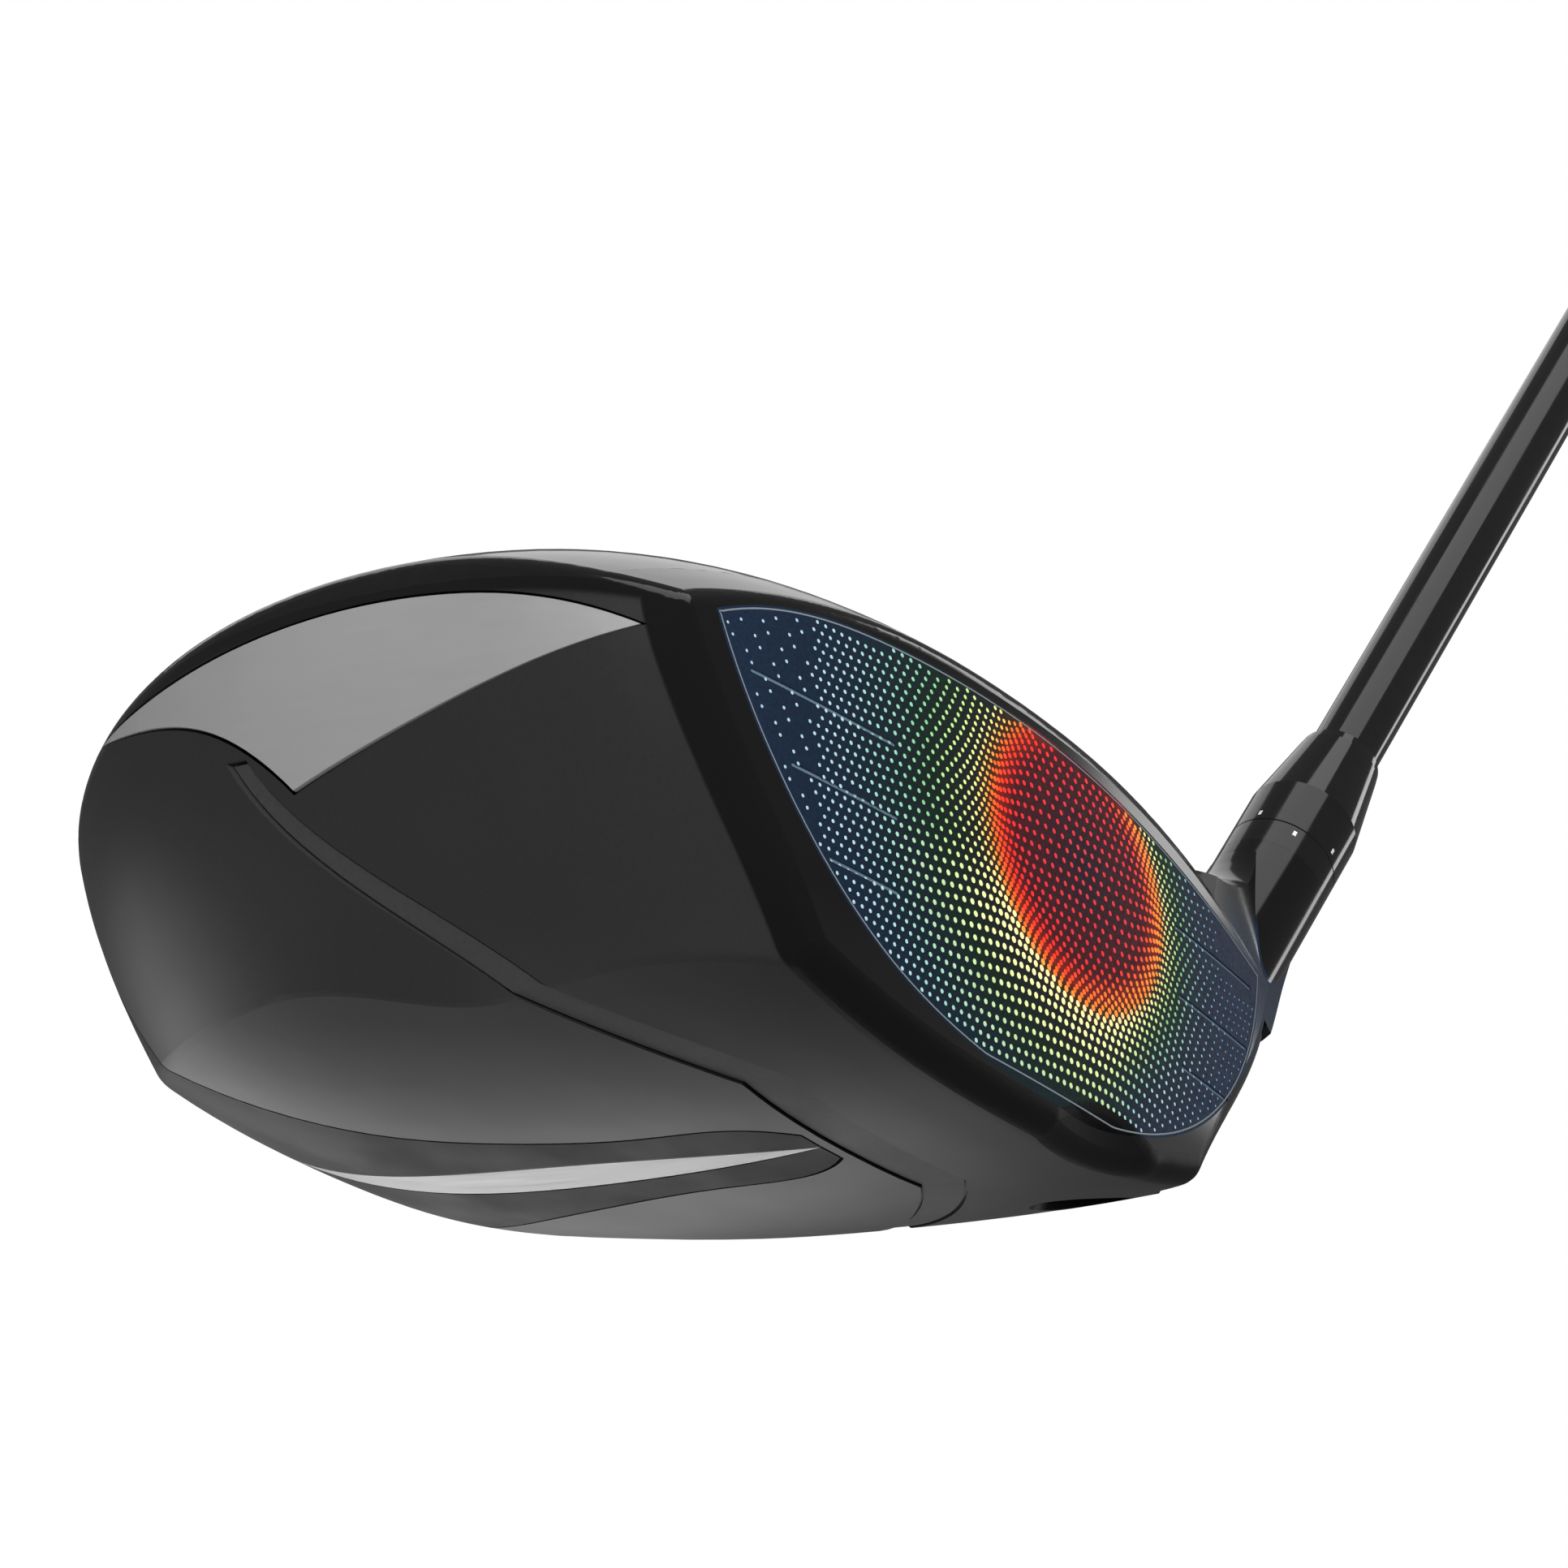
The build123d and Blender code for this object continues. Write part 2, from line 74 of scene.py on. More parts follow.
# The face pattern's warm zone: an ellipse on the face.
HEAT_MID = Vector((9.5, 35.0)) * MM
HEAT_HALF = Vector((16.5, 15.0)) * MM
HEAT_HEEL_SQUEEZE = 0.42     # on the heel side the pattern beyond the ellipse is squeezed to this share


# ------------------------------------------------------------------ node helpers

GAP_SAMPLES = 8


def with_alpha(value):
    """A colour with its alpha; anything else as it is."""
    return (*value, 1.0) if isinstance(value, tuple) and len(value) == 3 else value


def tinted(colour, factor):
    """A colour made darker or lighter by a factor."""
    return tuple(min(1.0, channel * factor) for channel in colour)


def grey(tone):
    return tone, tone, tone


class Paint:
    """A material under construction: its node tree and its one Principled shader."""

    def __init__(self, name):
        self.material = bpy.data.materials.new(name)
        self.material.use_nodes = True
        self.tree = self.material.node_tree
        self.tree.nodes.clear()
        self.shader = self.tree.nodes.new("ShaderNodeBsdfPrincipled")
        output = self.tree.nodes.new("ShaderNodeOutputMaterial")
        self.tree.links.new(self.shader.outputs[0], output.inputs[0])
        self.place = self.tree.nodes.new("ShaderNodeTexCoord").outputs["Object"]

    def link(self, value, socket):
        """Feed a socket from another node's output, or set it to a constant."""
        if isinstance(value, bpy.types.NodeSocket):
            self.tree.links.new(value, socket)
        else:
            socket.default_value = value

    def set(self, **inputs):
        """Set the Principled shader's inputs; underscores stand for spaces."""
        for name, value in inputs.items():
            self.link(with_alpha(value), self.shader.inputs[name.replace("_", " ")])

    def math(self, operation, a, b=0.0, c=0.0):
        node = self.tree.nodes.new("ShaderNodeMath")
        node.operation = operation
        for value, socket in zip((a, b, c), node.inputs):
            self.link(value, socket)
        return node.outputs[0]

    def product(self, a, b):
        return self.math("MULTIPLY", a, b)

    def distance(self, a, b):
        """Diagonal of a rectangle with the sides a and b."""
        return self.math("SQRT", self.math("ADD", self.product(a, a), self.product(b, b)))

    def axes(self):
        """The x, y and z of a point, as three outputs."""
        node = self.tree.nodes.new("ShaderNodeSeparateXYZ")
        self.link(self.place, node.inputs[0])
        return node.outputs

    def remap(self, value, low, high, to_low=0.0, to_high=1.0):
        """Blend smoothly from to_low to to_high as the value goes from low to high."""
        node = self.tree.nodes.new("ShaderNodeMapRange")
        node.interpolation_type = "SMOOTHSTEP"
        for part, socket in zip((value, low, high, to_low, to_high), node.inputs):
            self.link(part, socket)
        return node.outputs[0]

    def stretched(self, factors):
        """The point's place, scaled along each axis."""
        node = self.tree.nodes.new("ShaderNodeMapping")
        self.link(self.place, node.inputs["Vector"])
        node.inputs["Scale"].default_value = factors
        return node.outputs[0]

    def noise(self, scale, detail=3.0, roughness=0.55, place=None):
        """Noise with its grain given in grains per metre."""
        node = self.tree.nodes.new("ShaderNodeTexNoise")
        self.link(self.place if place is None else place, node.inputs["Vector"])
        node.inputs["Scale"].default_value = scale
        node.inputs["Detail"].default_value = detail
        node.inputs["Roughness"].default_value = roughness
        return node.outputs["Fac"]

    def mix(self, factor, a, b):
        """Colour between a and b."""
        node = self.tree.nodes.new("ShaderNodeMix")
        node.data_type = "RGBA"
        self.link(factor, node.inputs[0])
        first, second = [socket for socket in node.inputs if socket.type == "RGBA"]
        self.link(with_alpha(a), first)
        self.link(with_alpha(b), second)
        return next(socket for socket in node.outputs if socket.type == "RGBA")

    def ramp(self, value, stops):
        """Colour ramp over a list of (position, colour)."""
        node = self.tree.nodes.new("ShaderNodeValToRGB")
        elements = node.color_ramp.elements
        while len(elements) < len(stops):
            elements.new(0.5)
        for element, (position, colour) in zip(elements, stops):
            element.position = position
            element.color = (*colour, 1.0)
        self.link(value, node.inputs[0])
        return node.outputs[0]

    def bump(self, height, strength, depth):
        """Surface relief from a height, with its depth in metres."""
        node = self.tree.nodes.new("ShaderNodeBump")
        node.inputs["Strength"].default_value = strength
        node.inputs["Distance"].default_value = depth
        self.link(height, node.inputs["Height"])
        self.set(Normal=node.outputs[0])

    def openness(self, reach):
        """1 on open surfaces, falling towards 0 inside gaps narrower than reach."""
        node = self.tree.nodes.new("ShaderNodeAmbientOcclusion")
        node.samples = GAP_SAMPLES
        node.inputs["Distance"].default_value = reach
        return node.outputs["AO"]

    def behind_face(self):
        """How far a point lies behind the face surface, in metres."""
        x, y, z = self.axes()
        rise = self.math("SUBTRACT", z, FACE_MID_HEIGHT)
        squares = self.math("ADD", self.product(x, x), self.product(rise, rise))
        curve = self.math("DIVIDE", squares, 2 * FACE_RADIUS)
        face = self.math("MULTIPLY_ADD", rise, LOFT_SLOPE, curve)
        return self.math("SUBTRACT", y, face)


# -------------------------------------------------------------------- materials

LACQUER_BLACK = grey(0.003)
SATIN_DARK = grey(0.022)
SATIN_LIGHT = grey(0.032)
SATIN_WORN = grey(0.034)
FACE_NAVY = (0.008, 0.020, 0.046)
BARE_METAL = grey(0.45)
SCORE_PAINT = (0.14, 0.20, 0.27)
PINSTRIPE = (0.16, 0.19, 0.22)
TICK_WHITE = grey(0.62)

# Where one finish gives way to another: the start and the end of each blend.
LACQUER_BEHIND_FACE = (3.4 * MM, 3.9 * MM)
RIM_LEVEL = (41.0 * MM, 42.0 * MM)
RIM_PEAK_Y = 35.0 * MM       # how far back the lower edge of the lacquered rim is highest
RIM_CURVE = 3.0              # how fast that edge falls away from there, in metres per square metre
HOSEL_REACH = (15 * MM, 19 * MM)
HOSEL_LEVEL = (30 * MM, 36 * MM)
POLISH_LEVEL = (10 * MM, 20 * MM)
FACE_SKIN = (0.05 * MM, 0.12 * MM)
HEEL_PRINT = (44 * MM, 47 * MM)
GROOVE_REACH = 0.9 * MM
GROOVE_SHADE = (0.35, 0.75)
SCORE_TOP = (0.10 * MM, 0.16 * MM)
SCORE_BOTTOM = (0.35 * MM, 0.5 * MM)
PLATE_WALL = (0.5 * MM, 0.9 * MM)
PLATE_ROLL = (0.01 * MM, 0.04 * MM)
ROLL_LEVEL = (9 * MM, 11 * MM)


def gloss_black(name, tone=0.004, haze=0.10):
    """Deep black lacquer under a clear coat, with faint orange peel and handling haze."""
    paint = Paint(name)
    smudge = paint.noise(38.0, 4.0)
    sheen = (tone * 1.6, tone * 1.6, tone * 1.7)
    paint.set(
        Base_Color=paint.mix(paint.noise(900.0, 2.0), grey(tone), sheen),
        Roughness=paint.remap(smudge, 0.35, 0.75, haze, haze + 0.10),
        Specular_IOR_Level=0.45,
        Coat_Weight=0.6,
        Coat_Roughness=paint.remap(smudge, 0.3, 0.8, 0.03, 0.10),
    )
    paint.bump(paint.noise(420.0, 2.0), 0.06, 0.05 * MM)
    return paint.material


def metal(name, colour, roughness, grain=(1.0, 1.0, 1.0), metallic=1.0, streak=0.10):
    """Metal with fine drawn or brushed grain; grain stretches the noise along an axis."""
    paint = Paint(name)
    lines = paint.noise(1400.0, 4.0, 0.6, paint.stretched(grain))
    tone = paint.noise(30.0, 3.0)
    base = paint.mix(lines, tinted(colour, 1 - streak), tinted(colour, 1 + streak))
    stained = paint.mix(paint.remap(tone, 0.45, 0.8, 0.0, 0.25), base, tinted(colour, 0.7))
    paint.set(
        Base_Color=stained,
        Metallic=metallic,
        Roughness=paint.remap(lines, 0.2, 0.8, roughness - 0.06, roughness + 0.08),
    )
    paint.bump(lines, 0.15, 0.02 * MM)
    return paint.material


def matte(name, colour, roughness=0.62, grain=1500.0, relief=0.3, speck=0.25):
    """Moulded plastic, elastomer or rubber with a fine matte grain."""
    paint = Paint(name)
    fine = paint.noise(grain, 4.0, 0.6)
    broad = paint.noise(55.0, 3.0)
    paint.set(
        Base_Color=paint.mix(fine, tinted(colour, 1 - speck), tinted(colour, 1 + speck)),
        Roughness=paint.remap(broad, 0.3, 0.7, roughness - 0.06, roughness + 0.06),
        Specular_IOR_Level=0.4,
    )
    paint.bump(fine, relief, 0.04 * MM)
    return paint.material


def lacquered(paint):
    """1 where the body is gloss black: round the face, on the rim and on the hosel."""
    x, y, z = paint.axes()
    round_face = paint.remap(paint.behind_face(), *LACQUER_BEHIND_FACE, 1.0, 0.0)
    back = paint.math("SUBTRACT", y, RIM_PEAK_Y)
    rim = paint.math("ADD", z, paint.product(paint.product(back, back), RIM_CURVE))
    on_rim = paint.remap(rim, *RIM_LEVEL)
    across_axis = Vector((SHAFT_AXIS.z, 0.0, -SHAFT_AXIS.x))
    heelward = paint.product(paint.math("SUBTRACT", x, SHAFT_FOOT.x), across_axis.x)
    across = paint.math("MULTIPLY_ADD", z, across_axis.z, heelward)
    radius = paint.distance(across, paint.math("SUBTRACT", y, SHAFT_FOOT.y))
    near_hosel = paint.remap(radius, *HOSEL_REACH, 1.0, 0.0)
    on_hosel = paint.product(near_hosel, paint.remap(z, *HOSEL_LEVEL))
    return paint.math("MAXIMUM", paint.math("MAXIMUM", round_face, on_rim), on_hosel)


def heel_print(paint):
    """1 on the heel end of the face, where the print runs past the face plate onto the body."""
    x, _, z = paint.axes()
    on_skin = paint.remap(paint.math("ABSOLUTE", paint.behind_face()), *FACE_SKIN, 1.0, 0.0)
    corner = paint.product(paint.remap(x, *HEEL_PRINT), paint.remap(z, *HEEL_PRINT, 1.0, 0.0))
    return paint.product(on_skin, corner)


def body_paint():
    """Satin charcoal on the skirt and sole; gloss black round the face, on the rim and on the hosel;
    painted shade blackens narrow grooves and gaps.
    """
    paint = Paint("body_satin")
    gloss = lacquered(paint)
    polish = paint.product(gloss, paint.remap(paint.axes()[2], *POLISH_LEVEL))
    fine = paint.noise(2600.0, 3.0, 0.6)
    broad = paint.noise(24.0, 3.0)
    satin = paint.mix(fine, SATIN_DARK, SATIN_LIGHT)
    satin = paint.mix(paint.remap(broad, 0.4, 0.7, 0.0, 0.35), satin, SATIN_WORN)
    lacquer = paint.mix(heel_print(paint), LACQUER_BLACK, FACE_NAVY)
    coat = paint.mix(gloss, satin, lacquer)
    # Painted shade: the base colour falls to black inside narrow grooves and gaps, where the occlusion
    # is strong.
    open_skin = paint.remap(paint.openness(GROOVE_REACH), *GROOVE_SHADE)
    dull = paint.remap(broad, 0.3, 0.7, 0.40, 0.46)
    paint.set(
        Base_Color=paint.mix(open_skin, grey(0.0), coat),
        Metallic=paint.math("MULTIPLY_ADD", gloss, -0.35, 0.35),
        Roughness=paint.math("MULTIPLY_ADD", polish, -0.30, dull),
        Coat_Weight=paint.product(polish, 0.5),
        Coat_Roughness=0.12,
        Specular_IOR_Level=0.5,
    )
    paint.bump(paint.product(fine, paint.math("SUBTRACT", 1.0, gloss)), 0.12, 0.02 * MM)
    return paint.material


def heat_distance(paint):
    """The face pattern's distance from the warm zone's middle: 1 on its edge."""
    x, _, z = paint.axes()
    across = paint.math("DIVIDE", paint.math("SUBTRACT", x, HEAT_MID.x), HEAT_HALF.x)
    up = paint.math("DIVIDE", paint.math("SUBTRACT", z, HEAT_MID.y), HEAT_HALF.y)
    reach = paint.distance(across, up)
    beyond = paint.math("MAXIMUM", paint.math("SUBTRACT", reach, 1.0), 0.0)
    squeeze = paint.product(paint.remap(across, 0.0, 1.0), 1.0 / HEAT_HEEL_SQUEEZE - 1)
    return paint.math("ADD", reach, paint.product(beyond, squeeze))


GROUND_REACH = 4.0           # the heat distance at the end of the ground's colour ramp
GROUND_COLOURS = [
    (0.00, (0.012, 0.004, 0.012)), (0.20, (0.060, 0.003, 0.006)), (0.245, (0.22, 0.010, 0.003)),
    (0.265, (0.05, 0.018, 0.003)), (0.31, (0.006, 0.010, 0.008)), (0.42, (0.003, 0.014, 0.009)),
    (0.60, (0.005, 0.016, 0.030)), (0.85, (0.009, 0.020, 0.046)),
]
GROUND_WORN = (0.004, 0.005, 0.008)


def face_paint():
    """Dark printed ground that warms towards the pattern's middle, with paint-filled score lines."""
    paint = Paint("face_print")
    ground = paint.ramp(paint.math("DIVIDE", heat_distance(paint), GROUND_REACH), GROUND_COLOURS)
    behind = paint.behind_face()
    line = paint.product(paint.remap(behind, *SCORE_TOP), paint.remap(behind, *SCORE_BOTTOM, 1.0, 0.0))
    low = paint.remap(paint.axes()[2], *ROLL_LEVEL, 1.0, 0.0)
    rolled = paint.product(paint.remap(behind, *PLATE_ROLL), low)
    wall = paint.remap(behind, *PLATE_WALL)
    fine = paint.noise(2200.0, 3.0)
    grain = paint.noise(1200.0, 3.0, 0.6, paint.stretched((1.0, 1.0, 12.0)))
    print_ground = paint.mix(paint.remap(fine, 0.3, 0.8, 0.0, 0.4), ground, GROUND_WORN)
    base = paint.mix(wall, paint.mix(line, print_ground, SCORE_PAINT), BARE_METAL)
    paint.set(
        Base_Color=paint.mix(rolled, base, LACQUER_BLACK),
        Metallic=paint.math("MULTIPLY_ADD", wall, 0.7, 0.15),
        Roughness=paint.remap(fine, 0.3, 0.7, 0.46, 0.56),
        Specular_IOR_Level=0.2,
    )
    paint.bump(grain, 0.08, 0.02 * MM)
    return paint.material


def dot_paint():
    """Printed dots: each takes its own colour from the mesh, and glows faintly in that colour as
    painted light.
    """
    paint = Paint("face_dots")
    colour = paint.tree.nodes.new("ShaderNodeAttribute")
    colour.attribute_name = "dot_colour"
    wear = paint.remap(paint.noise(1800.0, 2.0), 0.4, 0.8, 0.0, 0.25)
    paint.set(
        Base_Color=paint.mix(wear, colour.outputs["Color"], (0.02, 0.03, 0.05)),
        Roughness=paint.remap(paint.noise(500.0), 0.3, 0.7, 0.35, 0.5),
        Specular_IOR_Level=0.3,
        # Painted light: the dots emit a faint glow of their own colour.
        Emission_Color=colour.outputs["Color"],
        Emission_Strength=0.18,
    )
    paint.bump(paint.noise(4000.0, 2.0), 0.1, 0.01 * MM)
    return paint.material


def rubber(name):
    """Grip rubber: dull, with a fine moulded grain and slightly polished high spots."""
    paint = Paint(name)
    fine = paint.noise(1900.0, 4.0, 0.65)
    worn = paint.noise(22.0, 4.0)
    paint.set(
        Base_Color=paint.mix(fine, (0.010, 0.010, 0.011), (0.022, 0.022, 0.023)),
        Roughness=paint.remap(worn, 0.3, 0.75, 0.78, 0.58),
        Specular_IOR_Level=0.35,
    )
    paint.bump(fine, 0.35, 0.06 * MM)
    return paint.material


def floor_paint():
    """Pale floor seen only from above, so a camera under the sole looks past it."""
    paint = Paint("floor")
    paint.set(
        Base_Color=paint.mix(paint.noise(3.0), grey(0.20), grey(0.21)),
        Roughness=0.7,
        Specular_IOR_Level=0.0,
        Emission_Color=grey(1.0),
        Emission_Strength=0.78,
    )
    nodes, links = paint.tree.nodes, paint.tree.links
    clear = nodes.new("ShaderNodeBsdfTransparent")
    side = nodes.new("ShaderNodeNewGeometry").outputs["Backfacing"]
    choose = nodes.new("ShaderNodeMixShader")
    links.new(side, choose.inputs[0])
    links.new(paint.shader.outputs[0], choose.inputs[1])
    links.new(clear.outputs[0], choose.inputs[2])
    output = next(n for n in nodes if n.type == "OUTPUT_MATERIAL")
    links.new(choose.outputs[0], output.inputs[0])
    return paint.material


# ---------------------------------------------------------------- shared geometry

def finish_mesh(name, bm, material, body):
    """Turn a bmesh into a smooth piece that rides on a body."""
    mesh = bpy.data.meshes.new(name)
    bm.to_mesh(mesh)
    bm.free()
    piece = bpy.data.objects.new(name, mesh)
    bpy.context.scene.collection.objects.link(piece)
    mesh.materials.append(material)
    mesh.shade_smooth()
    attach(piece, body)
    return piece


def surface_tree(node):
    """Ray-casting tree over a CAD node's mesh."""
    mesh = frame["nodes"][node].data
    mesh.calc_loop_triangles()
    corners = [v.co.copy() for v in mesh.vertices]
    return BVHTree.FromPolygons(corners, [tuple(t.vertices) for t in mesh.loop_triangles])


def on_face(x, z):
    """Point and outward normal of the face at x, z, worked out from its curve."""
    rise = z - FACE_MID_HEIGHT
    y = rise * LOFT_SLOPE + (x * x + rise * rise) / (2 * FACE_RADIUS)
    slope_x = x / FACE_RADIUS
    slope_z = LOFT_SLOPE + rise / FACE_RADIUS
    return Vector((x, y, z)), Vector((slope_x, -1.0, slope_z)).normalized()


def turn(a, b, c):
    """Positive when the path from a over b to c turns left."""
    return (b[0] - a[0]) * (c[1] - a[1]) - (b[1] - a[1]) * (c[0] - a[0])


def half_hull(points):
    """One side of the hull of sorted points, without its last point."""
    chain = []
    for point in points:
        while len(chain) > 1 and turn(chain[-2], chain[-1], point) <= 0:
            chain.pop()
        chain.append(point)
    return chain[:-1]


def plate_outline():
    """The face plate's outline in x, z: the hull of its mesh, counter-clockwise."""
    vertices = frame["nodes"]["face_plate"].data.vertices
    points = sorted({(round(v.co.x, 6), round(v.co.z, 6)) for v in vertices})
    return half_hull(points) + half_hull(points[::-1])


def inside_by(outline, x, z):
    """Distance from a point to the nearest side of a convex outline, negative outside it."""
    return min(
        turn(a, b, (x, z)) / math.hypot(b[0] - a[0], b[1] - a[1])
        for a, b in zip(outline, outline[1:] + outline[:1])
    )


# ------------------------------------------------------------------- face pattern

DOT_PITCH = 1.26 * MM
DOT_RADIUS = 0.27 * MM
DOT_SIDES = 8
DOT_LIFT = 0.015 * MM
DOT_DOME = 2.5               # height of a dot's middle, in lifts
DOT_MARGIN = 0.75 * MM
DOT_ROWS = range(-50, 51)
DOT_COLUMNS = range(-70, 71)
PRINT_BOTTOM = 6.8 * MM      # the plate rolls into the sole below this level
THIN_TOE = -36 * MM          # two dots in three are left out beyond this
PLAIN_HEEL = 41 * MM         # the heel end's top corner, beyond this and above the next, has no dots
PLAIN_HEEL_LEVEL = 34 * MM
CROWDING = 0.50              # how strongly the dots crowd onto the warm zone's edge
CROWDING_REACH = 0.9
SWIRL = 0.08                 # how far the rows bend round the warm zone, in radians
SWIRL_ARMS = 2.0
SWIRL_TWIST = 2.6
PROBE = 5 * MM               # how far in front of the face a ray starts that looks for its surface

DOT_COLOURS = [
    (0.00, (0.62, 0.020, 0.040)), (0.70, (0.66, 0.014, 0.026)), (0.88, (0.90, 0.012, 0.008)),
    (0.97, (1.00, 0.045, 0.006)), (1.06, (1.00, 0.160, 0.010)), (1.13, (0.90, 0.52, 0.10)),
    (1.24, (0.78, 0.76, 0.26)), (1.48, (0.46, 0.72, 0.24)), (1.75, (0.20, 0.52, 0.24)),
    (2.15, (0.26, 0.52, 0.44)), (2.60, (0.36, 0.52, 0.60)), (3.40, (0.30, 0.42, 0.56)),
]
LOW_GOLD = (0.92, 0.88, 0.42)    # colour of the large dots under the warm zone
HEEL_BLUE = (0.10, 0.30, 0.62)
EDGE_ORANGE = (1.0, 0.26, 0.02)
EDGE_WIDTH = 0.12                # breadth of the warm zone's edge, in heat distance
EDGE_TURN = (-0.24, 0.36)        # where the edge turns orange, in half widths from its middle

# Where each colour or size sets in and where it is full.
GOLD_HEAT = (2.3, 1.2)
GOLD_LEVEL = (30 * MM, 24 * MM)
GOLD_X = (26 * MM, 16 * MM)
BLUE_HEAT = (1.3, 2.2)
BLUE_X = (30 * MM, 42 * MM)
SMALL_HEAT = (2.0, 3.6)
SMALL_X = (26 * MM, 40 * MM)
GOLD_SHARE = 0.8
GOLD_GROWTH = 0.45
WARM_GROWTH = 0.22


def share_between(value, start, end):
    """0 at the start and before it, 1 at the end and past it, straight in between; either way round."""
    return min(1.0, max(0.0, (value - start) / (end - start)))


def smooth_step(value, start, end):
    """The same with a smooth blend in between."""
    share = share_between(value, start, end)
    return share * share * (3 - 2 * share)


def from_heat(x, z):
    """A face point's place relative to the warm zone: its edge is at distance 1."""
    return (x - HEAT_MID.x) / HEAT_HALF.x, (z - HEAT_MID.y) / HEAT_HALF.y


def heat_at(x, z):
    """The same distance from the warm zone's middle that the face paint uses."""
    across, up = from_heat(x, z)
    reach = math.hypot(across, up)
    return reach + max(reach - 1, 0) * smooth_step(across, 0.0, 1.0) * (1 / HEAT_HEEL_SQUEEZE - 1)


def under_heat(heat, x, z):
    """1 in the middle of the patch just below the warm zone, falling to 0 round it."""
    near = share_between(heat, *GOLD_HEAT)
    return near * share_between(z, *GOLD_LEVEL) * share_between(x, *GOLD_X)


def dot_colour(heat, x, z):
    """Colour of a dot; the warm edge turns from red on the toe side to orange on the heel side."""
    heat_in_ramp = min(heat, DOT_COLOURS[-1][0])
    for (low, first), (high, second) in zip(DOT_COLOURS, DOT_COLOURS[1:]):
        if heat_in_ramp <= high:
            colour = Vector(first).lerp(Vector(second), share_between(heat_in_ramp, low, high))
            break
    blue = share_between(x, *BLUE_X) * share_between(heat, *BLUE_HEAT)
    colour = colour.lerp(Vector(HEEL_BLUE), blue)
    if heat > 1.1:
        colour = colour.lerp(Vector(LOW_GOLD), GOLD_SHARE * under_heat(heat, x, z))
    edge = math.exp(-((heat - 1.0) / EDGE_WIDTH) ** 2)
    heel = share_between(from_heat(x, z)[0], *EDGE_TURN)
    return colour.lerp(Vector(EDGE_ORANGE), edge * heel)


def dot_size(heat, x, z):
    """Dot radius: full inside the warm zone, largest just below it, fading towards the toe and heel."""
    radius = DOT_RADIUS * (1.0 - 0.35 * share_between(heat, *SMALL_HEAT))
    radius *= 1.0 - 0.25 * share_between(x, *SMALL_X)
    growth = WARM_GROWTH if heat < 1.05 else GOLD_GROWTH * under_heat(heat, x, z)
    return radius * (1.0 + growth)


def crowded(x, z):
    """Shift a grid point so that the dots crowd onto the warm zone's edge and spread beside it."""
    across, up = from_heat(x, z)
    reach, angle = math.hypot(across, up), math.atan2(up, across)
    fade = math.exp(-((reach - 1) / CROWDING_REACH) ** 2)
    moved = reach - CROWDING * fade * math.sin(math.pi * (reach - 1)) / math.pi
    angle += SWIRL * math.sin(SWIRL_ARMS * angle + SWIRL_TWIST * reach) * fade
    return (
        HEAT_MID.x + HEAT_HALF.x * moved * math.cos(angle),
        HEAT_MID.y + HEAT_HALF.y * moved * math.sin(angle),
    )


def is_printed(outline, row, column, x, z):
    """Whether the print has a dot at this place of the grid."""
    if inside_by(outline, x, z) < DOT_MARGIN or z < PRINT_BOTTOM + DOT_MARGIN:
        return False
    if x > PLAIN_HEEL and z > PLAIN_HEEL_LEVEL:
        return False
    return x >= THIN_TOE or (row + column) % 3 == 0


def face_dots():
    """Thin printed dots laid on the face plate in a hexagonal grid, crowded by crowded()."""
    outline = plate_outline()
    surface = surface_tree("face_plate")
    bm = bmesh.new()
    layer = bm.verts.layers.float_color.new("dot_colour")
    for row, column in itertools.product(DOT_ROWS, DOT_COLUMNS):
        across = (column + 0.5 * (row % 2)) * DOT_PITCH
        x, z = crowded(across, FACE_MID_HEIGHT + row * DOT_PITCH * math.sqrt(0.75))
        if not is_printed(outline, row, column, x, z):
            continue
        point, normal = on_face(x, z)
        spot = surface.ray_cast(point + normal * PROBE, -normal, PROBE + 1 * MM)[0]
        if spot is None:
            continue
        heat = heat_at(x, z)
        add_dot(bm, layer, spot, normal, dot_size(heat, x, z), dot_colour(heat, x, z))
    return finish_mesh("face_dots", bm, dot_paint(), "head")


def add_dot(bm, layer, centre, normal, radius, colour):
    """One domed dot: a ring on the surface and a slightly raised middle."""
    side = normal.orthogonal().normalized()
    other = normal.cross(side)
    ring = []
    for i in range(DOT_SIDES):
        angle = 2 * math.pi * i / DOT_SIDES
        spoke = side * math.cos(angle) + other * math.sin(angle)
        ring.append(bm.verts.new(centre + spoke * radius + normal * DOT_LIFT))
    middle = bm.verts.new(centre + normal * DOT_LIFT * DOT_DOME)
    for vert in (*ring, middle):
        vert[layer] = (*colour, 1.0)
    for first, second in zip(ring, ring[1:] + ring[:1]):
        bm.faces.new((first, second, middle))


PINSTRIPE_STEP = 0.8 * MM
PINSTRIPE_INSET = 0.30 * MM
PINSTRIPE_WIDTH = 0.18 * MM


